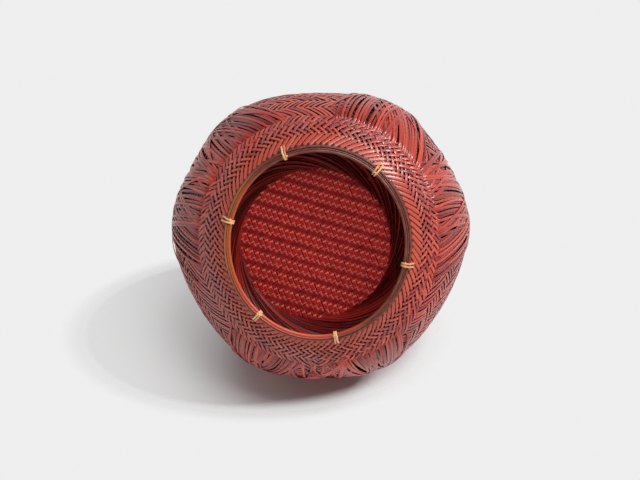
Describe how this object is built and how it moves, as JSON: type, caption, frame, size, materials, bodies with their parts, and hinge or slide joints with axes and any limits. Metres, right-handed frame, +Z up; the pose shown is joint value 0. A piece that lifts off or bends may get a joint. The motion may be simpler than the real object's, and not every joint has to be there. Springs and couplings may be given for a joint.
{
  "type": "bamboo flower basket",
  "caption": "Globe-shaped plaited bamboo flower basket with gathered fan sheaves, a herringbone base set up inside a hooped foot, and an open hooped mouth.",
  "frame": {"origin": "centre of the foot, on the surface the basket stands on", "axes": "+Z up along the basket's axis from the foot to the mouth, +Y through the middle of a wide plain field of the wall"},
  "size_m": [0.375, 0.3582, 0.286],
  "materials": {
    "lacquered_bamboo": "red-brown lacquer, satin",
    "base_bamboo": "deep red lacquer, satin",
    "hoop_bamboo": "amber to brown lacquer, semi-gloss",
    "rattan": "straw rattan, dull"
  },
  "bodies": {
    "root": {"woven_wall": "lacquered_bamboo", "fan_sheaf_1": "lacquered_bamboo", "fan_sheaf_2": "lacquered_bamboo", "fan_sheaf_3": "lacquered_bamboo", "fan_sheaf_4": "lacquered_bamboo", "fan_sheaf_5": "lacquered_bamboo", "fan_sheaf_6": "lacquered_bamboo", "base_mat": "base_bamboo", "base_border": "base_bamboo", "foot_hoop_inner": "hoop_bamboo", "foot_hoop_outer": "hoop_bamboo", "mouth_hoop_inner": "hoop_bamboo", "mouth_hoop_outer": "hoop_bamboo", "mouth_core": "hoop_bamboo", "foot_tie_1": "rattan", "foot_tie_2": "rattan", "foot_tie_3": "rattan", "foot_tie_4": "rattan", "foot_tie_5": "rattan", "foot_tie_6": "rattan", "mouth_tie_1": "rattan", "mouth_tie_2": "rattan", "mouth_tie_3": "rattan", "mouth_tie_4": "rattan", "mouth_tie_5": "rattan", "mouth_tie_6": "rattan"}
  },
  "joints": []
}
